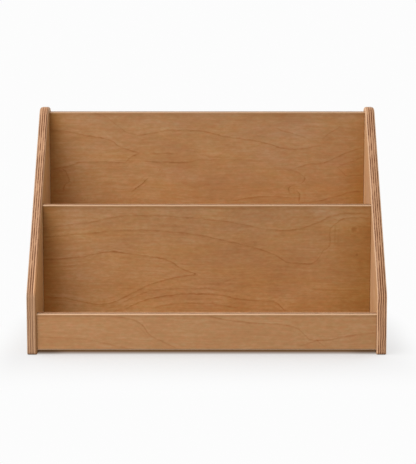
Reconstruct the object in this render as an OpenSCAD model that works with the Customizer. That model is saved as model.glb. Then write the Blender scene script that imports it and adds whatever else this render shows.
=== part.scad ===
// Two-tier book display for children. A back, a divider and a front lip stand between two shaped
// plywood sides, and a shelf lies in each tier. Dowels line the boards up, and cam locks draw the
// sides onto them.
//
// X runs across the width, Y from the front to the rear and Z up. The origin is on the floor,
// midway between the sides and midway along their depth. All sizes are in millimetres.

/* [Overall] */
// Width over the two sides
overall_w = 686; // [480:1:1200]
// Depth of the sides, from front to rear
overall_d = 305; // [285:1:380]
// Height of the sides
overall_h = 462; // [400:1:600]

/* [Boards] */
// Thickness of the two sides
side_t = 19; // [15:0.5:25]
// Thickness of the lip, divider, back and shelves
board_t = 19; // [15:0.5:25]
// Radius of the round-over along the edges of the sides
side_edge_r = 5; // [1:0.25:5.25]
// Radius of the eased edges under the sides, where the round-over has died out
foot_edge_r = 2; // [0.5:0.25:3]
// Radius of the round-over along the edges of the lip and along the tops of the divider and back
edge_r = 4; // [1:0.25:5]
// Radius of the eased lower edges of the divider and the back
eased_r = 1; // [0.5:0.25:3]

/* [Sides] */
// Height of the upright part of the front edge, up to the knee
knee_h = 117; // [100:1:160]
// Depth of the level top, from the end of the slope to the rear edge
top_d = 40; // [34:1:70]
// Radius of the knee, where the front edge turns into the slope
knee_r = 25; // [10:1:60]
// Radius of the corner between the slope and the level top
top_front_r = 20; // [10:1:30]
// Radius of the rear top corner
top_rear_r = 12; // [6:1:20]
// Radius of the two corners at the floor
foot_r = 6; // [5.5:0.5:15]

/* [Tiers] */
// Gap between the floor and the boards that stand between the sides
floor_gap = 8; // [4:1:25]
// Distance of the lip behind the sides' front edge
lip_setback = 5; // [3:0.5:12]
// Height of the lip
lip_h = 72; // [56:1:90]
// Clear depth of the lower tier, from the lip to the divider
lower_tier_d = 103; // [90:1:120]
// Distance of the divider's top edge behind the sloped edge of the sides
slope_setback = 5; // [0:0.5:15]
// Height of the divider above the upper shelf
upper_lip_h = 51; // [30:1:75]
// Distance of the back behind the sides' rear edge
back_inset = 13; // [5:0.5:25]
// Height of the sides above the back's top edge
back_drop = 9; // [0:0.5:25]

/* [Dowels] */
// Diameter of a dowel
dowel_d = 8; // [6:0.5:10]
// Length of a dowel
dowel_l = 32; // [26:1:38]
// Chamfer at a dowel's ends
dowel_chamfer = 1; // [0.5:0.25:2]
// Depth of a dowel hole in the face of a board
face_hole_depth = 12; // [9:0.5:13]
// Number of dowels in each seam between two boards
seam_dowel_count = 4; // [2:1:8]
// Distance from a side to the nearest dowel of a seam
seam_margin = 96; // [60:1:110]

/* [Cam locks] */
// Diameter of a cam
cam_d = 15; // [14:0.5:18]
// Depth of a cam past the axis of its bolt
cam_reach = 5; // [4.5:0.25:6]
// Thickness of a cam's wall round its hollow
cam_wall = 3; // [2:0.25:3.25]
// Width of the cross recess in a cam's face
recess_w = 1.4; // [1:0.1:2]
// Length of the cross recess
recess_l = 8; // [6:0.5:10]
// Depth of the cross recess
recess_depth = 3; // [2:0.25:3.5]
// Distance of a cam's face below the surface of its board
cam_sink = 0.3; // [0:0.1:1]
// Distance from the end of a board to the centre of its cams
cam_setback = 34; // [28:1:44]
// Diameter of the bolt's thread
thread_d = 5; // [4:0.5:6]
// Length of the bolt's thread in the side
thread_l = 11; // [8:0.5:12]
// Diameter of the bolt's shank
shank_d = 6; // [5:0.25:7]
// Diameter of the bolt's neck, which lies in the slot of the cam
neck_d = 4; // [3.5:0.25:4.5]
// Diameter of the bolt's ball head
ball_d = 7; // [6.5:0.25:7.5]
// Diameter of the bolt hole in the end of a board
bolt_hole_d = 8; // [7.5:0.25:10]

/* [Fastener places] */
// Distance from the end of a back or divider to the first cam
upright_margin = 35; // [20:1:50]
// Number of cams at each end of the back
back_cam_count = 3; // [2:1:4]
// Number of cams at each end of the divider
divider_cam_count = 2; // [2:1:2]
// Distance from the front or rear edge of a shelf to its first dowel
shelf_margin = 20; // [14:1:28]
// Distance from the lip's upper or lower edge to its dowels
lip_margin = 18; // [12:1:20]

/* [Fits] */
// Radial clearance of a dowel in its hole
dowel_fit = 0.05; // [0.02:0.01:0.2]
// Room past the end of a dowel
dowel_room = 1; // [0.5:0.25:2]
// Radial clearance of a cam in its hole
cam_fit = 0.1; // [0.05:0.05:0.3]
// Radial clearance of a bolt's thread in its hole
thread_fit = 0.05; // [0.02:0.01:0.15]
// Clearance round the ball head and the neck inside a cam
hook_fit = 0.3; // [0.2:0.05:0.5]

/* [Hidden] */

$fn = 48;
cut = 1; // how far a cutting shape runs past the surface that it opens
arc_step = 11.25; // greatest angle between the points of a rounded outline or edge

plywood = [0.71, 0.53, 0.37];
beech = [0.83, 0.68, 0.50];
zinc = [0.66, 0.67, 0.68];
steel = [0.75, 0.75, 0.76];

// Places across the width and the depth
half_in = overall_w / 2 - side_t;
front_y = -overall_d / 2;
rear_y = overall_d / 2;
lip_y = front_y + lip_setback;
lip_rear_y = lip_y + board_t;
divider_y = lip_rear_y + lower_tier_d;
divider_rear_y = divider_y + board_t;
back_y = rear_y - back_inset - board_t;

// Heights. The divider ends where the sloped edge of the sides lets it.
slope_run = (overall_d - top_d) / (overall_h - knee_h);
lip_top = floor_gap + lip_h;
divider_top = knee_h + (divider_y - front_y - slope_setback) / slope_run;
upper_shelf_top = divider_top - upper_lip_h;
upper_shelf_z = upper_shelf_top - board_t;
back_top = overall_h - back_drop;

// Corners of the side's outline as [y, z, radius], clockwise from the front foot, seen from the right
side_corners = [
    [front_y, 0, foot_r],
    [front_y, knee_h, knee_r],
    [rear_y - top_d, overall_h, top_front_r],
    [rear_y, overall_h, top_rear_r],
    [rear_y, 0, foot_r]
];

// Radius of the round-over along the edge that follows each corner. The last edge is the lower one.
side_edge_radii = [side_edge_r, side_edge_r, side_edge_r, side_edge_r, foot_edge_r];

// Count evenly spaced values from first to last
function spread(first, last, count) =
    [for (i = [0 : count - 1]) first + (last - first) * i / (count - 1)];

// The value midway between each pair of neighbours
function midpoints(list) = [for (i = [0 : len(list) - 2]) (list[i] + list[i + 1]) / 2];

// Fastener places on the inner face of a side, as [y, z]
back_cam_z = spread(floor_gap + upright_margin, back_top - upright_margin, back_cam_count);
divider_cam_z = spread(floor_gap + upright_margin, upper_shelf_z - upright_margin, divider_cam_count);
divider_dowel_z = concat(midpoints(divider_cam_z), [divider_top - upright_margin]);
lip_dowel_z = spread(floor_gap + lip_margin, lip_top - lip_margin, 2);
lower_dowel_y = spread(lip_rear_y + shelf_margin, divider_y - shelf_margin, 2);
upper_dowel_y = spread(divider_rear_y + shelf_margin, back_y - shelf_margin, 2);

back_cam_places = [for (z = back_cam_z) [back_y + board_t / 2, z]];
back_dowel_places = [for (z = midpoints(back_cam_z)) [back_y + board_t / 2, z]];
divider_cam_places = [for (z = divider_cam_z) [divider_y + board_t / 2, z]];
divider_dowel_places = [for (z = divider_dowel_z) [divider_y + board_t / 2, z]];
lip_dowel_places = [for (z = lip_dowel_z) [lip_y + board_t / 2, z]];
lower_cam_places = [for (y = midpoints(lower_dowel_y)) [y, floor_gap + board_t / 2]];
lower_dowel_places = [for (y = lower_dowel_y) [y, floor_gap + board_t / 2]];
upper_cam_places = [for (y = midpoints(upper_dowel_y)) [y, upper_shelf_z + board_t / 2]];
upper_dowel_places = [for (y = upper_dowel_y) [y, upper_shelf_z + board_t / 2]];

// Places of the seam dowels across the width
seam_x = spread(-half_in + seam_margin, half_in - seam_margin, seam_dowel_count);

// Dowel and cam lengths that follow from the boards
dowel_in_face = face_hole_depth - dowel_room;
dowel_in_edge = dowel_l - dowel_in_face;
cam_top = board_t / 2 - cam_sink;

// Outline of a side

function unit(v) = v / norm(v);
function corner(i) = side_corners[(i + len(side_corners)) % len(side_corners)];
function corner_point(i) = [corner(i)[0], corner(i)[1]];
function edge_radius(i) = side_edge_radii[(i + len(side_edge_radii)) % len(side_edge_radii)];

// Outward normal of the edge from corner i to the next one
function edge_normal(i) =
    let (along = unit(corner_point(i + 1) - corner_point(i)))
    [-along[1], along[0]];

// Centre of the arc that rounds corner i
function arc_centre(i) =
    let (
        before = edge_normal(i - 1),
        after = edge_normal(i),
        inward = -unit(before + after)
    )
    corner_point(i) + inward * corner(i)[2] / (-inward * after);

// Direction of the normal of the edge from corner i, as an angle
function edge_heading(i) = atan2(edge_normal(i)[1], edge_normal(i)[0]);

// Ring of points round the side, where its edge has turned by angle from one face, as [depth below
// that face, y, z]. Round each corner, the round-over grows from one edge's radius to the next one's.
function edge_ring(angle) = [
    for (i = [0 : len(side_corners) - 1])
        let (
            turn = acos(edge_normal(i - 1) * edge_normal(i)),
            steps = ceil(turn / arc_step)
        )
        for (s = [0 : steps])
            let (
                heading = edge_heading(i - 1) - turn * s / steps,
                r = edge_radius(i - 1) + (edge_radius(i) - edge_radius(i - 1)) * s / steps,
                reach = corner(i)[2] - r * (1 - sin(angle)),
                place = arc_centre(i) + reach * [cos(heading), sin(heading)]
            )
            [r * (1 - cos(angle)), place[0], place[1]]
];

// The side board before drilling, with its inner face at x = 0. A loft through rings of the
// outline, which follow the quarter round of the edge from each face to the other.
module side_blank() {
    quarter = [for (angle = [0 : arc_step : 90]) edge_ring(angle)];
    rings = [
        each quarter,
        for (i = [len(quarter) - 1 : -1 : 0]) [for (p = quarter[i]) [side_t - p[0], p[1], p[2]]]
    ];
    count = len(rings[0]);
    outer = (len(rings) - 1) * count;
    points = [for (ring = rings, p = ring) p];
    faces = [
        [for (i = [count - 1 : -1 : 0]) i],
        [for (i = [0 : count - 1]) outer + i],
        for (first = [0 : count : outer - count], i = [0 : count - 1])
            let (a = first + i, b = first + (i + 1) % count)
            each [[a, b, a + count], [b, b + count, a + count]]
    ];
    polyhedron(points, faces);
}

// Fasteners. Each lies along X, with the joint between its two boards at x = 0. It enters the
// face of one board towards +X and the end or edge of the other towards -X.

// Puts a shape that was drawn along Z along X instead
module along_x() {
    rotate([0, 90, 0]) children();
}

module dowel() {
    r = dowel_d / 2;
    along_x()
        translate([0, 0, -dowel_in_edge])
        rotate_extrude()
        polygon([
            [0, 0],
            [r - dowel_chamfer, 0],
            [r, dowel_chamfer],
            [r, dowel_l - dowel_chamfer],
            [r - dowel_chamfer, dowel_l],
            [0, dowel_l]
        ]);
}

module dowel_face_hole() {
    along_x()
        translate([0, 0, -cut])
        cylinder(d = dowel_d + 2 * dowel_fit, h = face_hole_depth + cut);
}

module dowel_edge_hole() {
    along_x()
        translate([0, 0, -dowel_in_edge - dowel_room])
        cylinder(d = dowel_d + 2 * dowel_fit, h = dowel_in_edge + dowel_room + cut);
}

// The bolt is screwed into the side and ends in a ball at the centre of the cam
module cam_bolt() {
    neck_l = cam_d / 2;
    along_x() {
        cylinder(d = thread_d, h = thread_l);
        translate([0, 0, neck_l - cam_setback]) cylinder(d = shank_d, h = cam_setback - neck_l);
        translate([0, 0, -cam_setback]) cylinder(d = neck_d, h = neck_l);
        translate([0, 0, -cam_setback]) sphere(d = ball_d);
    }
}

module cam_bolt_face_hole() {
    along_x()
        translate([0, 0, -cut])
        cylinder(d = thread_d + 2 * thread_fit, h = thread_l + cut);
}

// The cam is turned in the board to hook its slot behind the bolt's ball. Its driving face
// points towards +Z, and it is open below, as a casting is.
module cam() {
    ball_room = ball_d / 2 + hook_fit;
    neck_room = neck_d / 2 + hook_fit;
    hollow_r = cam_d / 2 - cam_wall;
    hook_turn = 45;
    slot_turn = 110;
    translate([-cam_setback, 0, 0])
        difference() {
            translate([0, 0, -cam_reach]) cylinder(d = cam_d, h = cam_reach + cam_top);
            translate([0, 0, -cam_reach - cut])
                cylinder(r = hollow_r, h = cam_reach + cut + ball_room + hook_fit);
            rotate([0, 0, -hook_turn])
                rotate_extrude(angle = hook_turn + slot_turn)
                translate([0, -neck_room])
                square([cam_d, 2 * neck_room]);
            rotate([0, 0, slot_turn]) along_x() cylinder(r = ball_room, h = cam_d);
            for (turn = [0, 90])
                rotate([0, 0, turn])
                    translate([-recess_l / 2, -recess_w / 2, cam_top - recess_depth])
                    cube([recess_l, recess_w, recess_depth + cut]);
        }
}

// The holes that one cam lock needs in its board: one for the bolt and one for the cam
module cam_lock_holes() {
    along_x()
        translate([0, 0, -cam_setback])
        cylinder(d = bolt_hole_d, h = cam_setback + cut);
    translate([-cam_setback, 0, -cam_reach])
        cylinder(d = cam_d + 2 * cam_fit, h = cam_reach + board_t / 2 + cut);
}

// Placing

// Repeats a fastener at each [y, z] place on both sides, with +X pointing into the side
module at_sides(places) {
    for (flip = [0, 1], place = places)
        mirror([flip, 0, 0])
            translate([half_in, place[0], place[1]])
            children();
}

// Turns a cam's face to the rear, for boards that stand, or down, for boards that lie
module facing_rear() {
    rotate([-90, 0, 0]) children();
}

module facing_down() {
    rotate([180, 0, 0]) children();
}

// Repeats a dowel along a seam at depth y and height z, where it enters the face of the board
// that lies to the front (-1) or to the rear (1) of the seam
module at_seam(y, z, towards) {
    for (x = seam_x)
        translate([x, y, z])
            rotate([0, 0, 90 * towards])
            children();
}

lower_seam_z = floor_gap + board_t / 2;
upper_seam_z = upper_shelf_z + board_t / 2;

module at_lip_seam() {
    at_seam(lip_rear_y, lower_seam_z, -1) children();
}

module at_lower_seam() {
    at_seam(divider_y, lower_seam_z, 1) children();
}

module at_upper_seam() {
    at_seam(divider_rear_y, upper_seam_z, -1) children();
}

module at_back_seam() {
    at_seam(back_y, upper_seam_z, 1) children();
}

// Boards

// A board between the sides, with a rectangular section whose upper and lower edges are rounded
module upright_board(y, z_low, z_high, r_low, r_high) {
    height = z_high - z_low;
    translate([-half_in, y, z_low])
        rotate([90, 0, 90])
        linear_extrude(2 * half_in) {
            translate([0, r_low]) square([board_t, height - r_low - r_high]);
            translate([r_low, 0]) square([board_t - 2 * r_low, height / 2]);
            translate([r_high, height / 2]) square([board_t - 2 * r_high, height / 2]);
            for (x = [r_low, board_t - r_low])
                translate([x, r_low]) circle(r_low);
            for (x = [r_high, board_t - r_high])
                translate([x, height - r_high]) circle(r_high);
        }
}

// A square-edged board that fills the depth from y_front to y_rear between the sides
module shelf_board(y_front, y_rear, z) {
    translate([-half_in, y_front, z])
        cube([2 * half_in, y_rear - y_front, board_t]);
}

module right_side() {
    color(plywood)
        translate([half_in, 0, 0])
        difference() {
            side_blank();
            for (place = concat(
                lip_dowel_places, lower_dowel_places, divider_dowel_places,
                upper_dowel_places, back_dowel_places
            ))
                translate([0, place[0], place[1]]) dowel_face_hole();
            for (place = concat(
                lower_cam_places, divider_cam_places, upper_cam_places, back_cam_places
            ))
                translate([0, place[0], place[1]]) cam_bolt_face_hole();
        }
}

module left_side() {
    mirror([1, 0, 0]) right_side();
}

module back_panel() {
    color(plywood)
        difference() {
            upright_board(back_y, floor_gap, back_top, eased_r, edge_r);
            at_sides(back_dowel_places) dowel_edge_hole();
            at_sides(back_cam_places) facing_rear() cam_lock_holes();
            at_back_seam() dowel_face_hole();
        }
}

module divider() {
    color(plywood)
        difference() {
            upright_board(divider_y, floor_gap, divider_top, eased_r, edge_r);
            at_sides(divider_dowel_places) dowel_edge_hole();
            at_sides(divider_cam_places) facing_rear() cam_lock_holes();
            at_lower_seam() dowel_face_hole();
            at_upper_seam() dowel_face_hole();
        }
}

module front_lip() {
    color(plywood)
        difference() {
            upright_board(lip_y, floor_gap, lip_top, edge_r, edge_r);
            at_sides(lip_dowel_places) dowel_edge_hole();
            at_lip_seam() dowel_face_hole();
        }
}

module lower_shelf() {
    color(plywood)
        difference() {
            shelf_board(lip_rear_y, divider_y, floor_gap);
            at_sides(lower_dowel_places) dowel_edge_hole();
            at_sides(lower_cam_places) facing_down() cam_lock_holes();
            at_lip_seam() dowel_edge_hole();
            at_lower_seam() dowel_edge_hole();
        }
}

module upper_shelf() {
    color(plywood)
        difference() {
            shelf_board(divider_rear_y, back_y, upper_shelf_z);
            at_sides(upper_dowel_places) dowel_edge_hole();
            at_sides(upper_cam_places) facing_down() cam_lock_holes();
            at_upper_seam() dowel_edge_hole();
            at_back_seam() dowel_edge_hole();
        }
}

// Dowels between the boards and the sides

module lip_dowels() {
    color(beech) at_sides(lip_dowel_places) dowel();
}

module lower_shelf_dowels() {
    color(beech) at_sides(lower_dowel_places) dowel();
}

module divider_dowels() {
    color(beech) at_sides(divider_dowel_places) dowel();
}

module upper_shelf_dowels() {
    color(beech) at_sides(upper_dowel_places) dowel();
}

module back_dowels() {
    color(beech) at_sides(back_dowel_places) dowel();
}

// Dowels in the seams between the boards

module lip_seam_dowels() {
    color(beech) at_lip_seam() dowel();
}

module lower_seam_dowels() {
    color(beech) at_lower_seam() dowel();
}

module upper_seam_dowels() {
    color(beech) at_upper_seam() dowel();
}

module back_seam_dowels() {
    color(beech) at_back_seam() dowel();
}

// Cam bolts

module lower_shelf_cam_bolts() {
    color(steel) at_sides(lower_cam_places) cam_bolt();
}

module divider_cam_bolts() {
    color(steel) at_sides(divider_cam_places) cam_bolt();
}

module upper_shelf_cam_bolts() {
    color(steel) at_sides(upper_cam_places) cam_bolt();
}

module back_cam_bolts() {
    color(steel) at_sides(back_cam_places) cam_bolt();
}

// Cams

module lower_shelf_cams() {
    color(zinc) at_sides(lower_cam_places) facing_down() cam();
}

module divider_cams() {
    color(zinc) at_sides(divider_cam_places) facing_rear() cam();
}

module upper_shelf_cams() {
    color(zinc) at_sides(upper_cam_places) facing_down() cam();
}

module back_cams() {
    color(zinc) at_sides(back_cam_places) facing_rear() cam();
}

left_side();
right_side();
back_panel();
divider();
front_lip();
lower_shelf();
upper_shelf();
lip_dowels();
lower_shelf_dowels();
divider_dowels();
upper_shelf_dowels();
back_dowels();
lip_seam_dowels();
lower_seam_dowels();
upper_seam_dowels();
back_seam_dowels();
lower_shelf_cam_bolts();
divider_cam_bolts();
upper_shelf_cam_bolts();
back_cam_bolts();
lower_shelf_cams();
divider_cams();
upper_shelf_cams();
back_cams();
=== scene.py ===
"""Looks of the two-tier book display: finishes, floor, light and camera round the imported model.

Lengths are in metres, angles in degrees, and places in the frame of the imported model: X across the
width, Y from the front to the rear and Z up, with the origin on the floor below the middle. A tone
is a share of red, green and blue by which a colour is multiplied. A pair whose name ends in STEP
holds the value at which something starts and the value at which it is full, and STEPS two such
pairs, one for each edge of a band.
"""

import math

import bmesh
import bpy
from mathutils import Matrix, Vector


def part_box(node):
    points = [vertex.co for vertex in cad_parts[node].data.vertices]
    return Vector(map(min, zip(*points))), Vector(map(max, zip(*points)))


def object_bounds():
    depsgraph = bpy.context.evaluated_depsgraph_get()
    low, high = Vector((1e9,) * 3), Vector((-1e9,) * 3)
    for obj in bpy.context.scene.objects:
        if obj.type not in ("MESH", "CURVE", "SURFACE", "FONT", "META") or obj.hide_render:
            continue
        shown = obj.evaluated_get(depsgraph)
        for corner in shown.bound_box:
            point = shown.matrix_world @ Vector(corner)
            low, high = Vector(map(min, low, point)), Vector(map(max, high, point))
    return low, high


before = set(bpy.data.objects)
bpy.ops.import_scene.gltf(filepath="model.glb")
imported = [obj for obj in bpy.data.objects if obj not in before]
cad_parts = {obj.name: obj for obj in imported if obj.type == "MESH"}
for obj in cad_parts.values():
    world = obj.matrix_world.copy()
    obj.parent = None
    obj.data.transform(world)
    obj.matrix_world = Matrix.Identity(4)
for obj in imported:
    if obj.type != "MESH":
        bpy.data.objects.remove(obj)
cad_low, cad_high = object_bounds()

MM = 0.001

# The boards, in the order that sets the seed of each one's noise
BOARDS = (
    "left_side", "right_side", "back_panel", "divider", "front_lip", "lower_shelf", "upper_shelf",
)

# Seeds: the gap from one board's to the next, and what a front and some of the noises add to it
SEED_GAP = 7.3
FRONT_SEED = 3.0
FRAY_SEED = 1.0
FADE_SEED = 2.0
BLUNT_SEED = 5.0
TINT_SEED = 9.0

# The camera that took the photograph, worked out from the boards' edges. Pixels are those of the
# photograph, and the lens looks a little to the right of its middle.
IMAGE_HEIGHT_PX = 464
FOCAL_PX = 1469
CENTRE_RIGHT_PX = 3.2
SENSOR_MM = 36
EYE = (0.0085, -2.906, 0.570)
PITCH_DOWN = 6.9

# Levels of light, where 1 shows a surface as bright as its colour is written
WHITE = 0.975
SKY_LEVEL = 0.85
KEY_LEVEL = 1.0
KEY_AZIMUTH = -55
KEY_ELEVATION = 40
KEY_SPREAD = 65
KEY_DISTANCE = 3.2

# The floor: how pale it is to the rays that don't show it, and how far its painted shade reaches,
# beside the object and before it
FLOOR_RADIUS = 14.0
FLOOR_BOUNCE = 0.25
SHADE_BESIDE = 90 * MM
SHADE_BEFORE = 300 * MM

# Depth of that painted shade, at the object's left and right, behind it and in front of it
REAR_SHADES = (0.09, 0.01)
FRONT_SHADES = (0.105, 0.045)
FRONT_STEP = (60 * MM, -100 * MM)

# How much of the light that falls on the floor shows there: beside the object, at its left and
# right, and before it. The rest is a painted white glow, which lifts the object's shadow. Between
# the two lies a border that widens away from the object.
KEPT_BESIDE = (0.24, 0.26)
KEPT_BEFORE = 0.87
BORDER_INSET = 17 * MM
BORDER_WIDTH = 24 * MM
BORDER_SPREAD = 0.8

# The floor below the lip, a glow painted as a brown shadow behind the lip's face, with more painted
# shade near the feet. Places are distances outside the footprint, but the rear one is along Y and
# the fade's behind the face.
UNDER_BESIDE_STEP = (0.0, -20 * MM)
UNDER_BEFORE_STEP = (2 * MM, -4 * MM)
UNDER_REAR_STEP = (-50 * MM, -90 * MM)
UNDER_FADE_STEP = (47 * MM, 5 * MM)
UNDER_FADE_POWER = 1.9
UNDER_DEEP = (0.14, 0.06, 0.012)
UNDER_FRONT = (0.78, 0.75, 0.73)
UNDER_CORNER_STEP = (-80 * MM, -40 * MM)
UNDER_CORNER_SHARES = (1.0, 0.65)
UNDER_CORNER_TONE = (0.5, 0.47, 0.44)

# Plywood. A colour is the photograph's, in steps of 1/255, and a shift is added to one.
PLY_COUNT = 9
BOARD_COLOR = (160, 114, 74)
SIDE_COLOR = (184, 142, 102)
LATE_SHIFT = (-30, -40, -40)
PALE_SHIFT = (28, 37, 42)
LONG_PLY_COLOR = (189, 146, 111)
END_PLY_COLOR = (92, 50, 22)
OUTER_PLY_COLOR = (186, 150, 119)
GLUE_COLOR = (70, 38, 20)
JOINT_SHADE_COLOR = (50, 26, 12)

# The veneer: how blurred the middle of the board is between its two faces, as a share of the
# thickness, how far the grain drifts, the strength of its fibres, streaks, flecks and clouds, that
# of its growth lines, how much stronger all of them are on some boards, and the streaks' relief
MIDDLE_BLUR = 0.05
GRAIN_DRIFT = 26 * MM
MOTTLE_STRENGTHS = (0.22, 0.55, 0.55, 0.5)
FIGURE_STRENGTH = 0.5
CONTRASTS = {"back_panel": 1.25, "divider": 1.4, "left_side": 1.4, "right_side": 1.5}
STREAK_RELIEF = 0.5

# Tones between which the veneer varies, in fine grain and in broad stretches, and the share of the
# broad ones where a board shows less of them
FINE_TINTS = ((0.86, 1.03, 1.0), (1.14, 0.97, 1.0))
BROAD_TINTS = ((0.96, 1.0, 1.26), (1.04, 1.0, 0.76))
BROAD_SHARES = {"front_lip": 0.3}

# The dark line at the ends of the boards that stand between the sides: the gap there, and painted
# shade in the corner
JOINT_SHADE_STEP = (1.8 * MM, 0.2 * MM)
JOINT_SHADE_SHARE = 0.45

# Tones of a front, at its lower edge and at its upper edge. On the back panel and the divider they
# are painted light low down and painted shade up high; on the lip the tone is even.
FRONT_TONES = {
    "back_panel": ((1.24, 1.18, 0.9), (0.95, 0.98, 1.0)),
    "divider": ((1.23, 1.2, 0.99), (0.93, 0.95, 0.94)),
    "front_lip": ((1.15, 1.2, 1.24), (1.15, 1.2, 1.24)),
}

# The painted shade at the left end and at the right end of a front, darker and deeper in colour
# where the sides' shade falls: how far it reaches, its share and its tone. Each is a pair, for the
# lower edge and for the upper edge. It was set by comparing renders with the photograph.
FRONT_END_SHADES = {
    "back_panel": (
        ((104.5 * MM, 38.5 * MM), (0.6, 1.06), ((0.86, 0.76, 0.48), (0.86, 0.76, 0.48))),
        ((60 * MM, 60 * MM), (1.68, 0.38), ((0.84, 0.77, 0.48), (0.84, 0.77, 0.48))),
    ),
    "divider": (
        ((65 * MM, 65 * MM), (0.6, 1.06), ((0.98, 0.77, 0.25), (0.69, 0.6, 0.4))),
        ((120 * MM, 120 * MM), (0.6, 1.06), ((0.61, 0.61, 0.33), (0.9, 0.78, 0.55))),
    ),
}

# The rim of the two upper fronts, by the distance below their upper edge
RIM_STEP = (14 * MM, 2 * MM)
RIM_TONE = (0.85, 0.83, 0.79)

# Lines on the lip's front: a pale one at its lower edge, painted light from the floor below, and
# below its upper edge a dark one and a pale rim, a painted highlight
LIP_FOOT_LIGHT_STEP = (6 * MM, 1 * MM)
LIP_FOOT_LIGHT_TONE = (1.12, 1.12, 1.12)
LIP_DARK_STEPS = ((9 * MM, 6 * MM), (2 * MM, 5 * MM))
LIP_DARK_TONE = (0.86, 0.86, 0.86)
LIP_RIM_HIGHLIGHT_STEP = (4 * MM, 2 * MM)
LIP_RIM_HIGHLIGHT_TONE = (1.14, 1.16, 1.18)

# Plies on the cut edges: how far they waver, above the knee and at the foot, where in a pair of
# plies the crossed one lies, how blurred the outer ply's edge is, and where the glue between two
# plies lies, from a ply's middle. All but the first are shares of a pair or of a ply.
PLY_WAVERS = (0.8 * MM, 3.2 * MM)
CROSSED_STEPS = ((0.46, 0.54), (1.0, 0.94))
PLY_BLUR = 0.15
GLUE_STEP = (0.42, 0.5)
GLUE_SHARE = 0.4

# How dark a ply is on a cut edge: a straight one at the board's ends, and a crossed one there and on
# the long edges. WEAR is how much of that shows, and pores, gaps and calm stretches change it, the
# last by one amount above the knee and by another at the foot.
STRAIGHT_DARK = 0.35
CROSSED_DARKS = (0.45, 0.95)
WEAR = 1.05
PORE_SWING = 1.4
GAP_SWING = 2.2
CALM_SWINGS = (1.6, 3.2)

# The sides: the tone of the inner face, painted light on the left side, the cut edge's rim beside
# the outer face, with painted shade on the left side and painted light on the right side, and the
# foot below the knee, with its tone and the share of the dark plies that it keeps
KNEE_HEIGHT = 117 * MM
FOOT_STEP = (KNEE_HEIGHT + 5 * MM, KNEE_HEIGHT - 5 * MM)
SIDES = {
    "left_side": {
        "inner_light_tone": (1.12, 1.11, 0.95),
        "rim_light_step": (5.2 * MM, 3.0 * MM),
        "rim_light_tone": (0.8, 0.78, 0.76),
        "foot_tone": (0.91, 0.92, 0.93),
        "foot_dark": 0.6,
    },
    "right_side": {
        "inner_light_tone": (1.0, 1.01, 1.03),
        "rim_light_step": (3.2 * MM, 1.6 * MM),
        "rim_light_tone": (1.5, 1.48, 1.4),
        "foot_tone": (1.1, 1.06, 1.04),
        "foot_dark": 0.88,
    },
}

# The left side's cut edge beside the inner face: a painted shade on its rim, which widens down the
# slope and is narrower at the foot, and a pale line past it, a painted highlight, which is stronger
# low down
SHADED_TONE = (0.68, 0.57, 0.42)
SHADED_WIDTHS = (1.9 * MM, 4.4 * MM)
SHADED_HEIGHT_STEP = (310 * MM, 150 * MM)
SHADED_FOOT_LOSS = 1.2 * MM
SHADED_EDGE_STEP = (0.0, -1 * MM)
PAINTED_HIGHLIGHT_TONE = (1.12, 1.12, 1.12)
PAINTED_HIGHLIGHT_STEP = (1.6 * MM, 0.8 * MM)
PAINTED_HIGHLIGHT_SHARES = (0.15, 0.9)
PAINTED_HIGHLIGHT_HEIGHT_STEP = (220 * MM, 130 * MM)

# The other cut edges. The lip's has darker plies and then paler ones, by the distance from its face.
EDGE_LEVELS = {"back_panel": 0.8, "divider": 0.86, "front_lip": 1.05}
LIP_PLY_STEPS = ((0.8 * MM, 2.8 * MM), (10 * MM, 8 * MM))
LIP_PLY_TONE = (0.68, 0.7, 0.73)
LIP_REAR_STEP = (8 * MM, 10 * MM)
LIP_REAR_TONE = (1.19, 1.24, 1.28)

# How far a surface faces through the board where the cut edge turns into the face
VENEER_STEP = (0.95, 0.995)

# The lacquer's roughness, and how much the wood's relief adds to it
LACQUER_ROUGHNESS = 0.42
RELIEF_ROUGHNESS = 0.08

# The fittings: the ending of their nodes' names, then their material's name, colour, roughness and
# share of metal. Then the mottle's grain, its darkest shade and the roughness that it adds.
FITTINGS = {
    "_dowels": ("beech", (196, 160, 118), 0.6, 0.0),
    "_cams": ("zinc", (176, 177, 180), 0.38, 1.0),
    "_cam_bolts": ("steel", (196, 197, 199), 0.28, 1.0),
}
FITTING_GRAIN = 600.0
FITTING_SHADE = 0.72
FITTING_ROUGHNESS = 0.15

# Arches of growth lines on the faces that have none listed below: where their middle is, as a share
# of the board's width, how far it wanders, how blunt they are, and the gap from ring to ring
ARCH_MIDDLE = 0.45
ARCH_WANDER = 140 * MM
ARCH_BLUNTNESS = 140 * MM
RING_GAP = 13 * MM

# One ring, counted from 0 to 1: a thin line near its end, and a fainter band that leads up to it.
# Then the draw and the noise from which a ring shows, and the strength of all of them.
RING_PEAK = 0.97
RING_LINE_STEP = (0.84, RING_PEAK)
RING_BAND_STEP = (0.2, RING_PEAK)
RING_BAND_SHARE = 0.35
RING_CHANCE_STEP = (0.2, 0.95)
RING_FADE_STEP = (0.2, 0.7)
SIDE_RING_STRENGTH = 0.8
BOARD_RING_STRENGTH = 1.3

# How dark a growth line is at distances above it, in millimetres, and how dark a knot is at shares
# of its radius. 0 is pale, REST is the wood between.
REST = 0.22
LINE_REACH = 24
LINE_PROFILE = [
    (-LINE_REACH, REST), (-17, 0.3), (-15, REST), (-9, 0.38), (-7, 0.26), (-2.4, 0.36),
    (-0.3, 1.0), (1.2, 0.26), (4, 0.14), (8, REST), (11, 0.34), (13, REST), (LINE_REACH, REST),
]
KNOT_PROFILE = [(0.0, 0.9), (0.25, 0.75), (0.4, 0.3), (0.6, 0.18), (0.82, 0.34), (1.0, REST)]

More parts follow.
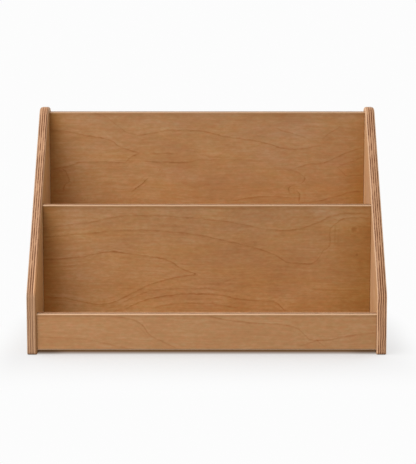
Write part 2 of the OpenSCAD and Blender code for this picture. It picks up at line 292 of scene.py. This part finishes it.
# How a growth line wavers and frays, and how it fades at its ends and along its length. A knot
# wavers more, and a patch ends where the square of the distance, in half sizes, is PATCH_EDGE.
LINE_WAVER = 5 * MM
LINE_FRAY = 4 * MM
LINE_END = 6 * MM
LINE_FADE_STEP = (0.32, 0.72)
LINE_FADE_SHARES = (0.62, 1.42)
KNOT_WAVER = 2.2
PATCH_EDGE = 1.4

# Growth lines on the fronts of the boards. Each has a strength and the places that it runs
# through, as (x, z) in millimetres, from left to right. The places were read, in pixels, off
# enlarged parts of the photograph. A separate program turned most of them, those of the upright
# lines too and of some knots, into the millimetres that stand here.
GROWTH_LINES = {
    "back_panel": [
        (0.8, [(-320, 414), (-279, 411), (-245, 403), (-197, 394), (-181, 382), (-163, 375),
               (-142, 368)]),
        (0.75, [(-320, 334), (-280, 343), (-257, 349), (-172, 349), (-158, 358), (-142, 366)]),
        (0.8, [(-143, 405), (-114, 409), (-69, 415), (-19, 414), (40, 402), (109, 391), (179, 376),
               (233, 384)]),
        (0.6, [(144, 419), (156, 414), (179, 407), (206, 399)]),
        (0.6, [(237, 397), (253, 410), (273, 422)]),
        (0.6, [(-112, 367), (-60, 368)]),
        (0.75, [(-128, 351), (-103, 349), (-47, 349), (-15, 353), (27, 355)]),
        (0.6, [(-47, 374), (-19, 372)]),
        (0.4, [(-42, 379), (-17, 377)]),
        (0.6, [(1, 361), (27, 360)]),
        (0.3, [(-1, 344), (40, 348), (68, 354), (98, 354)]),
        (0.3, [(-206, 336), (-161, 336)]),
        (0.3, [(-137, 395), (-101, 398)]),
        (0.7, [(182, 336), (196, 342), (241, 348), (266, 358), (291, 370), (321, 380)]),
        (0.6, [(270, 338), (285, 346), (301, 351), (322, 360)]),
        (0.6, [(270, 337), (279, 329), (291, 321), (318, 321)]),
        (0.5, [(163, 333), (177, 332), (194, 324), (204, 314)]),
        (0.8, [(57, 270), (86, 275), (119, 278), (169, 277)]),
        (0.3, [(135, 285), (169, 283)]),
        (0.7, [(192, 265), (234, 269), (263, 277), (300, 287), (320, 288)]),
        (1.2, [(-154, 290), (-138, 302), (-124, 314)]),
        (0.45, [(-232, 451), (-210, 444), (-196, 435), (-180, 421), (-163, 410), (-143, 405)]),
    ],
    "divider": [
        (0.9, [(-322, 166), (-275, 170), (-242, 173), (-190, 182), (-154, 178), (-88, 169),
               (-71, 162), (-53, 150), (-21, 138)]),
        (0.8, [(-322, 91), (-282, 89), (-207, 77), (-163, 92), (-133, 107), (-93, 123), (-21, 138)]),
        (0.7, [(-322, 211), (-253, 217), (-172, 224), (-132, 225), (-44, 219), (51, 201), (125, 180),
               (145, 170), (162, 161), (182, 159), (201, 158), (213, 162), (221, 170), (229, 183)]),
        (0.6, [(243, 227), (254, 238), (265, 246), (277, 250), (319, 250)]),
        (0.6, [(-322, 230), (-277, 235), (-224, 242), (-180, 252), (-132, 254), (-44, 251),
               (55, 240), (144, 225), (181, 228), (223, 242), (243, 252), (271, 258), (322, 258)]),
        (0.4, [(-311, 151), (-276, 154), (-231, 161)]),
        (0.3, [(-220, 181), (-189, 188), (-154, 184), (-121, 180)]),
        (0.8, [(-158, 70), (-133, 82), (-93, 92), (-30, 98), (19, 97), (52, 90), (86, 85), (128, 83),
               (139, 79), (154, 66)]),
        (0.5, [(-166, 81), (-144, 92), (-120, 101), (-93, 107), (-4, 109), (41, 103), (57, 104)]),
        (0.5, [(-102, 71), (-84, 75), (-45, 79), (-4, 79), (30, 75), (64, 70)]),
        (0.3, [(-14, 118), (19, 118), (37, 123), (55, 130)]),
        (0.3, [(96, 123), (127, 118), (156, 114)]),
        (0.4, [(205, 109), (246, 105), (304, 105)]),
    ],
    "front_lip": [
        (0.7, [(-322, 77), (-234, 76), (-177, 74), (-140, 68), (-123, 58), (-110, 40), (-72, 20),
               (-48, 8)]),
        (0.7, [(-136, 66), (-123, 58), (-115, 48)]),
        (0.85, [(4, 74), (85, 62), (147, 58), (171, 52), (190, 36), (209, 28), (257, 34), (322, 43)]),
        (0.8, [(178, 17), (195, 23), (212, 28)]),
        (0.7, [(210, 29), (217, 22), (228, 16)]),
        (0.6, [(-322, 35), (-234, 30), (-172, 17), (-139, 9)]),
    ],
}

# Growth lines on the same fronts that run up, with their places as (z, x), from the lowest to the
# highest
UPRIGHT_LINES = {
    "back_panel": [
        (1.1, [(285, 172), (293, 169), (300, 176), (304, 192), (312, 201), (320, 202)]),
        (1.3, [(268, 190), (281, 192), (288, 188)]),
        (0.8, [(291, -296), (301, -294), (310, -285), (320, -287), (334, -296), (339, -308)]),
    ],
    "divider": [
        (0.6, [(183, 229), (188, 236), (194, 242), (204, 244), (217, 242), (227, 243)]),
        (0.25, [(200, 253), (234, 254)]),
        (0.25, [(200, 260), (234, 262)]),
    ],
}

# Soft patches on the same fronts, as (x, z, half width, half height, depth), with lengths in
# millimetres. A depth above 0 is a darker patch, and one below 0 a paler patch.
PATCHES = {
    "back_panel": [
        (-250, 372, 90, 50, -0.12), (-180, 270, 160, 30, -0.14), (60, 318, 120, 40, 0.12),
        (175, 380, 60, 50, -0.12),
    ],
    "divider": [
        (100, 152, 140, 60, 0.3), (-225, 58, 190, 42, -0.3), (285, 262, 80, 40, -0.45),
        (-290, 240, 60, 40, -0.15), (-215, 160, 50, 30, -0.15),
    ],
}

# Knots on the same fronts, as (x, z, radius) in millimetres
KNOTS = {
    "back_panel": [(-97, 333, 6), (242, 348, 5), (-253, 272, 8), (178, 284, 6)],
    "divider": [(291, 227, 14), (297, 176, 8), (303, 164, 5), (-24, 138, 6)],
}


def linear(color):
    """A colour of the photograph, written in steps of 1/255, as the renderer counts light."""
    def channel(c):
        c = c / 255
        return c / 12.92 if c <= 0.04045 else ((c + 0.055) / 1.055) ** 2.4
    return tuple(channel(c) for c in color)


def shifted(color, shift):
    return tuple(c + d for c, d in zip(color, shift))


def grey(level):
    return (level, level, level)


class Shader:
    """The nodes of a material or a world, with a short call for each kind that this script uses."""

    def __init__(self, owner, output="ShaderNodeOutputMaterial"):
        self.owner = owner
        owner.use_nodes = True
        self.tree = owner.node_tree
        self.tree.nodes.clear()
        self.output = self.tree.nodes.new(output)

    def put(self, socket, value):
        """Links a socket to another one, or sets its value, which is a triple where it is a colour."""
        if isinstance(value, bpy.types.NodeSocket):
            self.tree.links.new(value, socket)
        elif socket.type == "RGBA":
            socket.default_value = (*value, 1.0)
        else:
            socket.default_value = value

    def add(self, kind, inputs, output=0, **settings):
        node = self.tree.nodes.new(kind)
        for key, value in settings.items():
            setattr(node, key, value)
        for key, value in inputs.items():
            self.put(node.inputs[key], value)
        return node.outputs[output]

    def show(self, surface):
        self.put(self.output.inputs["Surface"], surface)

    def coordinates(self, name):
        return self.add("ShaderNodeTexCoord", {}, name)

    def point(self, x, y, z=0.0):
        return self.add("ShaderNodeCombineXYZ", {0: x, 1: y, 2: z})

    def axes(self, vector):
        """The X, Y and Z of a vector."""
        node = self.tree.nodes.new("ShaderNodeSeparateXYZ")
        self.put(node.inputs[0], vector)
        return tuple(node.outputs)

    def distance(self, a, b=(0.0, 0.0, 0.0)):
        return self.add("ShaderNodeVectorMath", {0: a, 1: b}, "Value", operation="DISTANCE")

    def math(self, operation, a, b=0.0, c=0.0, clamp=False):
        return self.add("ShaderNodeMath", {0: a, 1: b, 2: c}, operation=operation, use_clamp=clamp)

    def product(self, first, *rest):
        for value in rest:
            first = self.math("MULTIPLY", first, value)
        return first

    def inverse(self, share):
        return self.math("SUBTRACT", 1.0, share)

    def between(self, share, first, last):
        """A number that goes from the first to the last as the share goes from 0 to 1."""
        return self.add("ShaderNodeMix", {0: share, 2: first, 3: last})

    def swing(self, noise, amount, base=0.0):
        """The base, with the amount times the noise's distance from its middle added to it."""
        return self.math("MULTIPLY_ADD", self.math("SUBTRACT", noise, 0.5), amount, base)

    def ramp(self, value, low, high):
        """0 at low and 1 at high, and straight between them."""
        return self.add("ShaderNodeMapRange", {"Value": value, "From Min": low, "From Max": high})

    def step(self, value, low, high):
        """0 at low and 1 at high, with a smooth rise between them. It falls where high is below low."""
        inputs = {"Value": value, "From Min": low, "From Max": high}
        return self.add("ShaderNodeMapRange", inputs, interpolation_type="SMOOTHSTEP")

    def band(self, value, one_step, other_step):
        """1 in a band that starts with one step and ends with the other."""
        return self.product(self.step(value, *one_step), self.step(value, *other_step))

    def curve(self, value, points):
        """A smooth line through (value, result) points, both from 0 to 1."""
        node = self.tree.nodes.new("ShaderNodeFloatCurve")
        self.put(node.inputs["Value"], value)
        line = node.mapping.curves[0]
        for x, y in points[2:]:
            line.points.new(x, y)
        for spot, (x, y) in zip(line.points, points):
            spot.location = (x, y)
            spot.handle_type = "AUTO_CLAMPED"
        node.mapping.update()
        return node.outputs[0]

    def noise(self, vector, scale=1.0, detail=2.0, roughness=0.5):
        inputs = {"Vector": vector, "Scale": scale, "Detail": detail, "Roughness": roughness}
        return self.add("ShaderNodeTexNoise", inputs, "Fac")

    def grain(self, place, scales, detail=2.0, roughness=0.5):
        """Noise with a scale of its own for each number of the place, but none for a seed at its end."""
        scaled = [self.product(part, scale) for part, scale in zip(place, scales)]
        seed = place[len(scales):]
        return self.noise(self.point(*scaled, *seed), detail=detail, roughness=roughness)

    def mix(self, share, a, b, blend="MIX"):
        """The colour a, turned into b by a share."""
        inputs = {0: share, 6: a, 7: b}
        return self.add("ShaderNodeMix", inputs, 2, data_type="RGBA", blend_type=blend)

    def toned(self, color, tone, share=1.0):
        """The colour times a tone, by a share."""
        return self.mix(share, color, tone, "MULTIPLY")

    def bump(self, height, strength, distance):
        return self.add("ShaderNodeBump", {"Height": height, "Strength": strength, "Distance": distance})

    def principled(self, **inputs):
        named = {key.replace("_", " "): value for key, value in inputs.items()}
        self.show(self.add("ShaderNodeBsdfPrincipled", named))


def finish_node(node, shader):
    """Gives a node of the model its material, in every slot that its mesh has."""
    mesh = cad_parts[node].data
    if not mesh.materials:
        mesh.materials.append(shader.owner)
    for slot in range(len(mesh.materials)):
        mesh.materials[slot] = shader.owner


class Board:
    """A board's directions: along the grain of its faces, across it and through its thickness."""

    def __init__(self, name):
        self.name = name
        self.low, self.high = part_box(name)
        self.is_side = name in SIDES
        size = self.high - self.low
        through_axis = min(range(3), key=lambda i: size[i])
        along_axis = 2 if self.is_side else 0
        across_axis = 3 - through_axis - along_axis
        self.axes = (along_axis, across_axis, through_axis)
        self.length, self.width, self.thickness = [size[axis] for axis in self.axes]
        self.seed = BOARDS.index(name) * SEED_GAP

    def directions(self, s, spot):
        """The place in the board as along, across and through, each from the board's low corner."""
        return [s.math("SUBTRACT", spot[axis], self.low[axis]) for axis in self.axes]

    def facing(self, s):
        """How far the surface faces along, across and through, each from 0 to 1."""
        normal = s.axes(s.coordinates("Normal"))
        return [s.math("ABSOLUTE", normal[axis]) for axis in self.axes]


def growth_line(s, u, v, low, high, points, shift):
    """One growth line, v as a function of u, with fainter lines and a darker band along it."""
    u_size, v_size = high[0] - low[0], high[1] - low[1]
    spots = [((pu * MM - low[0]) / u_size, (pv * MM - low[1]) / v_size) for pu, pv in points]
    level = s.math("MULTIPLY_ADD", s.curve(s.ramp(u, low[0], high[0]), spots), v_size, low[1])
    above = s.math("ADD", s.math("SUBTRACT", v, level), shift)
    profile = [((mm + LINE_REACH) / (2 * LINE_REACH), shade) for mm, shade in LINE_PROFILE]
    place = s.ramp(above, -LINE_REACH * MM, LINE_REACH * MM)
    mark = s.math("SUBTRACT", s.curve(place, profile), REST)
    first, last = points[0][0] * MM, points[-1][0] * MM
    inside = s.band(u, (first - LINE_END, first + LINE_END), (last + LINE_END, last - LINE_END))
    return s.product(mark, inside)


def marked_figure(s, board, spot):
    """The growth lines, knots and patches that are listed for the front of a board."""
    x, _, z = spot
    low, high = (board.low.x, board.low.z), (board.high.x, board.high.z)
    waver = s.grain((x, z, board.seed), scales=(40.0, 20.0), detail=3.0, roughness=0.6)
    fray = s.grain((x, z, board.seed + FRAY_SEED), scales=(70.0, 420.0))
    fade = s.grain((x, z, board.seed + FADE_SEED), scales=(45.0, 80.0), detail=4.0, roughness=0.6)
    shift = s.swing(fray, LINE_FRAY, s.swing(waver, LINE_WAVER))
    dark = 0.0
    for strength, points in GROWTH_LINES[board.name]:
        line = growth_line(s, x, z, low, high, points, shift)
        dark = s.math("MULTIPLY_ADD", line, strength, dark)
    for strength, points in UPRIGHT_LINES.get(board.name, []):
        line = growth_line(s, z, x, low[::-1], high[::-1], points, shift)
        dark = s.math("MULTIPLY_ADD", line, strength, dark)
    dark = s.product(dark, s.between(s.step(fade, *LINE_FADE_STEP), *LINE_FADE_SHARES))
    for kx, kz, radius in KNOTS.get(board.name, []):
        away = s.distance(s.point(x, z), (kx * MM, kz * MM, 0.0))
        away = s.math("MULTIPLY_ADD", shift, KNOT_WAVER, away)
        share = s.math("DIVIDE", away, radius * MM, clamp=True)
        dark = s.math("ADD", dark, s.math("SUBTRACT", s.curve(share, KNOT_PROFILE), REST))
    for px, pz, half_width, half_height, depth in PATCHES.get(board.name, []):
        wide = s.math("DIVIDE", s.math("SUBTRACT", x, px * MM), half_width * MM)
        tall = s.math("DIVIDE", s.math("SUBTRACT", z, pz * MM), half_height * MM)
        away = s.math("ADD", s.product(wide, wide), s.product(tall, tall))
        dark = s.math("MULTIPLY_ADD", s.step(away, PATCH_EDGE, 0.0), depth, dark)
    return dark


def plain_figure(s, board, along, across, seed):
    """Growth lines of a flat cut sheet, in arches round a wandering middle. Few rings show."""
    wander = s.grain((along, across, seed), scales=(2.4, 3.0))
    blunt = s.grain((along, across, s.math("ADD", seed, BLUNT_SEED)), scales=(1.8, 0.6), detail=1.0)
    fade = s.grain((along, across, seed), scales=(30.0, 50.0), detail=3.0)
    off = s.swing(wander, ARCH_WANDER, s.math("SUBTRACT", across, ARCH_MIDDLE * board.width))
    ring = s.distance(s.point(off, s.product(blunt, ARCH_BLUNTNESS)))
    ring = s.math("DIVIDE", ring, RING_GAP)
    number = s.math("FLOOR", ring)
    chance = s.add("ShaderNodeTexWhiteNoise", {"Vector": s.point(number, seed)}, "Value")
    grown = s.math("FRACT", ring)
    line = s.step(grown, *RING_LINE_STEP)
    band = s.product(s.step(grown, *RING_BAND_STEP), RING_BAND_SHARE)
    line = s.product(s.math("MAXIMUM", line, band), s.step(grown, 1.0, RING_PEAK))
    strength = SIDE_RING_STRENGTH if board.is_side else BOARD_RING_STRENGTH
    return s.product(line, s.step(chance, *RING_CHANCE_STEP), s.step(fade, *RING_FADE_STEP), strength)


def front_tone_and_light(s, board, along, across):
    """The tone of the veneer over a board's front, with painted light and shade."""
    rise = s.math("DIVIDE", across, board.width)
    below_top = s.math("SUBTRACT", board.width, across)
    # Painted light low down and painted shade up high on the back panel and the divider
    tone = s.mix(rise, *FRONT_TONES[board.name])
    if board.name == "front_lip":
        # Painted light along the lip's lower edge
        tone = s.toned(tone, LIP_FOOT_LIGHT_TONE, s.step(across, *LIP_FOOT_LIGHT_STEP))
        tone = s.toned(tone, LIP_DARK_TONE, s.band(below_top, *LIP_DARK_STEPS))
        # A painted highlight on the lip's rim below its upper edge
        return s.toned(tone, LIP_RIM_HIGHLIGHT_TONE, s.step(below_top, *LIP_RIM_HIGHLIGHT_STEP))
    # Painted shade at the left and right ends of the front, where the sides' shade falls
    from_ends = (along, s.math("SUBTRACT", board.length, along))
    for from_end, (reaches, shares, tones) in zip(from_ends, FRONT_END_SHADES[board.name]):
        near = s.step(from_end, s.between(rise, *reaches), 0.0)
        share = s.product(near, s.between(rise, *shares))
        tone = s.toned(tone, s.mix(rise, *tones), share)
    return s.toned(tone, RIM_TONE, s.step(below_top, *RIM_STEP))


def face_color(s, board, spot, along, across, through):
    """Colour of the veneer, with painted light and shade on the fronts and sides, and its relief. The
    front is the face on the low side of the thickness.
    """
    middle, blur = board.thickness / 2, board.thickness * MIDDLE_BLUR
    front = s.step(through, middle + blur, middle - blur)
    seed = s.math("MULTIPLY_ADD", front, FRONT_SEED, board.seed)
    dark = plain_figure(s, board, along, across, seed)
    if board.name in GROWTH_LINES:
        dark = s.between(front, dark, marked_figure(s, board, spot))
    drift = s.grain((along, across, seed), scales=(4.0, 7.0))
    flow = s.math("MULTIPLY_ADD", drift, GRAIN_DRIFT, across)
    fibre = s.grain((along, flow, seed), scales=(16.0, 1100.0), detail=3.0)
    streak = s.grain((along, flow, seed), scales=(14.0, 220.0), detail=4.0, roughness=0.62)
    fleck = s.grain((along, flow, seed), scales=(90.0, 200.0), detail=3.0, roughness=0.6)
    cloud = s.grain((along, across, seed), scales=(16.0, 26.0), detail=4.0, roughness=0.6)
    tone = 0.0
    for layer, strength in zip((fibre, streak, fleck, cloud), MOTTLE_STRENGTHS):
        tone = s.swing(layer, strength, tone)
    tone = s.math("MULTIPLY_ADD", dark, -FIGURE_STRENGTH, tone)
    tone = s.product(tone, CONTRASTS.get(board.name, 1.0))
    base = SIDE_COLOR if board.is_side else BOARD_COLOR
    color = s.mix(tone, linear(base), linear(shifted(base, PALE_SHIFT)))
    color = s.mix(s.product(tone, -1.0), color, linear(shifted(base, LATE_SHIFT)))
    tint_seed = s.math("ADD", seed, TINT_SEED)
    fine = s.grain((along, flow, tint_seed), scales=(70.0, 180.0), detail=3.0, roughness=0.65)
    broad = s.grain((along, flow, tint_seed), scales=(8.0, 24.0), detail=4.0, roughness=0.65)
    color = s.toned(color, s.mix(fine, *FINE_TINTS))
    color = s.toned(color, s.mix(broad, *BROAD_TINTS), BROAD_SHARES.get(board.name, 1.0))
    if board.is_side:
        # The inner face's tone, painted light on the left side
        inner = front if board.name == "right_side" else s.inverse(front)
        color = s.toned(color, SIDES[board.name]["inner_light_tone"], inner)
    else:
        if board.name in GROWTH_LINES:
            color = s.toned(color, front_tone_and_light(s, board, along, across), front)
        # A dark line at the ends: the gap there and painted shade in the corner
        from_end = s.math("MINIMUM", along, s.math("SUBTRACT", board.length, along))
        joint = s.product(s.step(from_end, *JOINT_SHADE_STEP), JOINT_SHADE_SHARE)
        color = s.mix(joint, color, linear(JOINT_SHADE_COLOR))
    return color, s.math("MULTIPLY_ADD", streak, STREAK_RELIEF, fibre)


def side_edge(s, board, color, along, through, foot):
    """The colour of a side's plies, with painted light and shade beside its two faces, and toned at its
    foot.
    """
    looks = SIDES[board.name]
    from_outer, from_inner = through, s.math("SUBTRACT", board.thickness, through)
    if board.name == "right_side":
        from_outer, from_inner = from_inner, from_outer
    # Painted shade on the left side's outer rim, and painted light on the right side's
    color = s.toned(color, looks["rim_light_tone"], s.step(from_outer, *looks["rim_light_step"]))
    if board.name == "left_side":
        # A painted shade on the left side's inner rim, and a painted highlight past it
        width = s.between(s.step(along, *SHADED_HEIGHT_STEP), *SHADED_WIDTHS)
        width = s.math("MULTIPLY_ADD", foot, -SHADED_FOOT_LOSS, width)
        past = s.math("SUBTRACT", from_inner, width)
        share = s.between(s.step(along, *PAINTED_HIGHLIGHT_HEIGHT_STEP), *PAINTED_HIGHLIGHT_SHARES)
        pale = s.toned(linear(LONG_PLY_COLOR), PAINTED_HIGHLIGHT_TONE)
        color = s.mix(s.product(s.step(past, *PAINTED_HIGHLIGHT_STEP), share), color, pale)
        color = s.toned(color, SHADED_TONE, s.step(past, *SHADED_EDGE_STEP))
    return s.toned(color, looks["foot_tone"], foot)


def ply_color(s, board, along, across, through, faces_along, faces_across):
    """Colour of the cut edge, where plies with their grain along and across the board take turns, with
    painted light and shade on the sides' edges.
    """
    foot = s.step(along, *FOOT_STEP) if board.is_side else 0.0
    waver = s.grain((along, across, board.seed), scales=(40.0, 40.0), detail=4.0)
    depth = s.swing(waver, s.between(foot, *PLY_WAVERS), through)
    ply = board.thickness / PLY_COUNT
    pair = s.math("FRACT", s.math("DIVIDE", depth, 2 * ply))
    straight_dark = s.product(faces_along, STRAIGHT_DARK)
    crossed_dark = s.between(faces_across, *CROSSED_DARKS)
    dark = s.between(s.band(pair, *CROSSED_STEPS), straight_dark, crossed_dark)
    place = (along, across, through)
    pores = s.grain(place, scales=(260.0, 260.0, 900.0), detail=3.0)
    gaps = s.grain(place, scales=(45.0, 45.0, 330.0), detail=3.0)
    calm = s.grain(place, scales=(14.0, 14.0, 60.0))
    worn = s.swing(gaps, GAP_SWING, s.swing(pores, PORE_SWING, WEAR))
    worn = s.swing(calm, s.between(foot, *CALM_SWINGS), worn)
    dark = s.math("MULTIPLY", dark, worn, clamp=True)
    if board.is_side:
        dark = s.product(dark, s.between(foot, 1.0, SIDES[board.name]["foot_dark"]))
    color = s.mix(dark, linear(LONG_PLY_COLOR), linear(END_PLY_COLOR))
    half = board.thickness / 2
    from_middle = s.math("ABSOLUTE", s.math("SUBTRACT", depth, half))
    outer = s.step(from_middle, half - (1 + PLY_BLUR) * ply, half - (1 - PLY_BLUR) * ply)
    color = s.mix(outer, color, linear(OUTER_PLY_COLOR))
    in_ply = s.math("FRACT", s.math("DIVIDE", depth, ply))
    glue = s.step(s.math("ABSOLUTE", s.math("SUBTRACT", in_ply, 0.5)), *GLUE_STEP)
    color = s.mix(s.product(glue, GLUE_SHARE), color, linear(GLUE_COLOR))
    if board.is_side:
        return side_edge(s, board, color, along, through, foot)
    if board.name == "front_lip":
        color = s.toned(color, LIP_PLY_TONE, s.band(through, *LIP_PLY_STEPS))
        color = s.toned(color, LIP_REAR_TONE, s.step(through, *LIP_REAR_STEP))
    return s.toned(color, grey(EDGE_LEVELS.get(board.name, 1.0)))


def plywood(name):
    """Satin lacquered plywood: a veneer on both faces and plies on the cut edges."""
    board = Board(name)
    s = Shader(bpy.data.materials.new("plywood_" + name))
    spot = s.axes(s.coordinates("Object"))
    along, across, through = board.directions(s, spot)
    faces_along, faces_across, faces_through = board.facing(s)
    face, relief = face_color(s, board, spot, along, across, through)
    plies = ply_color(s, board, along, across, through, faces_along, faces_across)
    s.principled(
        Base_Color=s.mix(s.step(faces_through, *VENEER_STEP), plies, face),
        Roughness=s.math("MULTIPLY_ADD", relief, RELIEF_ROUGHNESS, LACQUER_ROUGHNESS),
        Specular_IOR_Level=0.12,
        Coat_Weight=0.03,
        Coat_Roughness=0.3,
        Normal=s.bump(relief, strength=0.06, distance=0.2 * MM),
    )
    return s


def fitting(name, color, roughness, metallic):
    """A hidden or small fitting's material: one colour with a fine mottle and a fine bump."""
    s = Shader(bpy.data.materials.new(name))
    mottle = s.noise(s.coordinates("Object"), scale=FITTING_GRAIN, detail=3.0)
    pale = linear(color)
    dark = tuple(c * FITTING_SHADE for c in pale)
    s.principled(
        Base_Color=s.mix(mottle, dark, pale),
        Metallic=metallic,
        Roughness=s.math("MULTIPLY_ADD", mottle, FITTING_ROUGHNESS, roughness),
        Normal=s.bump(mottle, strength=0.2, distance=0.1 * MM),
    )
    return s


def finish_boards():
    for name in BOARDS:
        finish_node(name, plywood(name))


def finish_fittings():
    for ending, looks in FITTINGS.items():
        shader = fitting(*looks)
        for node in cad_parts:
            if node.endswith(ending):
                finish_node(node, shader)


def seen_ray(s):
    """1 for rays that show the floor or the sky to the camera, in a gloss or through glass."""
    node = s.tree.nodes.new("ShaderNodeLightPath")
    seen = node.outputs["Is Camera Ray"]
    for name in ("Is Glossy Ray", "Is Transmission Ray"):
        seen = s.math("MAXIMUM", seen, node.outputs[name])
    return seen


def floor_material():
    """A pale floor, which turns into the white of the backdrop away from the object. Near the object it
    has painted shade, a painted white glow that lifts the object's shadow, and a brown painted shadow
    that glows below the lip.
    """
    s = Shader(bpy.data.materials.new("floor"))
    seen = seen_ray(s)
    x, y, _ = s.axes(s.coordinates("Object"))
    rightward = s.ramp(x, cad_low.x, cad_high.x)
    beside = s.math("SUBTRACT", s.math("ABSOLUTE", x), cad_high.x)
    before = s.math("SUBTRACT", s.math("ABSOLUTE", y), cad_high.y)
    out_beside = s.math("MAXIMUM", beside, 0.0)
    out_before = s.math("MAXIMUM", before, 0.0)
    away = s.point(
        s.math("DIVIDE", out_beside, SHADE_BESIDE), s.math("DIVIDE", out_before, SHADE_BEFORE),
    )
    near = s.step(s.distance(away), 1.0, 0.0)

    # The lit floor, with a soft painted shade round the object
    rear_shade = s.between(rightward, *REAR_SHADES)
    front_shade = s.between(rightward, *FRONT_SHADES)
    shade = s.product(s.between(s.step(y, *FRONT_STEP), rear_shade, front_shade), near)
    clear = s.inverse(shade)
    light = SKY_LEVEL + KEY_LEVEL * math.sin(math.radians(KEY_ELEVATION))
    pale = s.product(clear, WHITE / light)
    diffuse = s.add("ShaderNodeBsdfDiffuse", {"Color": s.between(seen, FLOOR_BOUNCE, pale)})

    # The same floor as a glow of its own: white with the painted shade, and below the lip a brown
    # painted shadow
    inside = s.product(s.step(beside, *UNDER_BESIDE_STEP), s.step(before, *UNDER_BEFORE_STEP))
    under = s.product(inside, s.step(y, *UNDER_REAR_STEP))
    behind_lip = s.math("SUBTRACT", y, cad_low.y)
    fade = s.math("POWER", s.ramp(behind_lip, *UNDER_FADE_STEP), UNDER_FADE_POWER)
    brown = s.mix(fade, UNDER_DEEP, UNDER_FRONT)
    # Painted shade below the lip near the feet
    corner = s.product(s.step(beside, *UNDER_CORNER_STEP), s.inverse(fade))
    corner = s.product(corner, s.between(rightward, *UNDER_CORNER_SHARES))
    brown = s.toned(brown, UNDER_CORNER_TONE, corner)
    glow_color = s.mix(under, s.product(clear, WHITE), brown)
    glow = s.add("ShaderNodeEmission", {"Color": glow_color, "Strength": 1.0})

    # How much of the lit floor is kept, with the object's shadow on it; the rest is the painted glow,
    # which lifts that shadow
    border = s.math("MULTIPLY_ADD", out_before, BORDER_SPREAD, BORDER_WIDTH)
    across_border = s.math("DIVIDE", s.math("ADD", beside, BORDER_INSET), border)
    ahead = s.step(across_border, 1.0, -1.0)
    kept = s.between(ahead, s.between(rightward, *KEPT_BESIDE), KEPT_BEFORE)
    kept = s.math("MAXIMUM", s.product(kept, near), inside)
    kept = s.product(kept, s.inverse(under))
    glow_share = s.product(s.inverse(kept), seen)
    s.show(s.add("ShaderNodeMixShader", {0: glow_share, 1: diffuse, 2: glow}))
    return s.owner


def floor():
    """A round floor, wide enough to end out of sight."""
    mesh = bpy.data.meshes.new("floor")
    shape = bmesh.new()
    bmesh.ops.create_circle(shape, cap_ends=True, segments=96, radius=FLOOR_RADIUS)
    shape.to_mesh(mesh)
    shape.free()
    mesh.materials.append(floor_material())
    plane = bpy.data.objects.new("floor", mesh)
    bpy.context.scene.collection.objects.link(plane)


def sky():
    """An even sky that fills the shadows, and is white where it is seen."""
    s = Shader(bpy.data.worlds.new("sky"), "ShaderNodeOutputWorld")
    level = s.between(seen_ray(s), SKY_LEVEL, WHITE)
    s.show(s.add("ShaderNodeBackground", {"Color": grey(1.0), "Strength": level}))
    bpy.context.scene.world = s.owner


def soft_lamp(name, level, azimuth, elevation, spread, distance):
    """A round lamp that looks at the object. Azimuth 0 is in front of it and positive to its right."""
    half = math.radians(spread / 2)
    lamp = bpy.data.lights.new(name, "AREA")
    lamp.shape = "DISK"
    lamp.size = 2 * distance * math.tan(half)
    lamp.energy = level * (math.pi * distance / math.cos(half)) ** 2
    holder = bpy.data.objects.new(name, lamp)
    holder.rotation_euler = (math.radians(90 - elevation), 0, math.radians(azimuth))
    middle = (cad_low + cad_high) / 2
    holder.location = middle + holder.rotation_euler.to_matrix() @ Vector((0, 0, distance))
    holder.visible_camera = False
    bpy.context.scene.collection.objects.link(holder)


def camera():
    """The photograph's camera, level from side to side and looking along Y."""
    lens = bpy.data.cameras.new("camera")
    lens.sensor_width = SENSOR_MM
    lens.lens = SENSOR_MM * FOCAL_PX / IMAGE_HEIGHT_PX
    lens.shift_x = -CENTRE_RIGHT_PX / IMAGE_HEIGHT_PX
    holder = bpy.data.objects.new("camera", lens)
    holder.location = EYE
    holder.rotation_euler = (math.radians(90 - PITCH_DOWN), 0, 0)
    bpy.context.scene.collection.objects.link(holder)
    bpy.context.scene.camera = holder


finish_boards()
finish_fittings()
floor()
sky()
soft_lamp("key", KEY_LEVEL, KEY_AZIMUTH, KEY_ELEVATION, KEY_SPREAD, KEY_DISTANCE)
camera()

scene = bpy.context.scene
scene.view_settings.view_transform = "Standard"
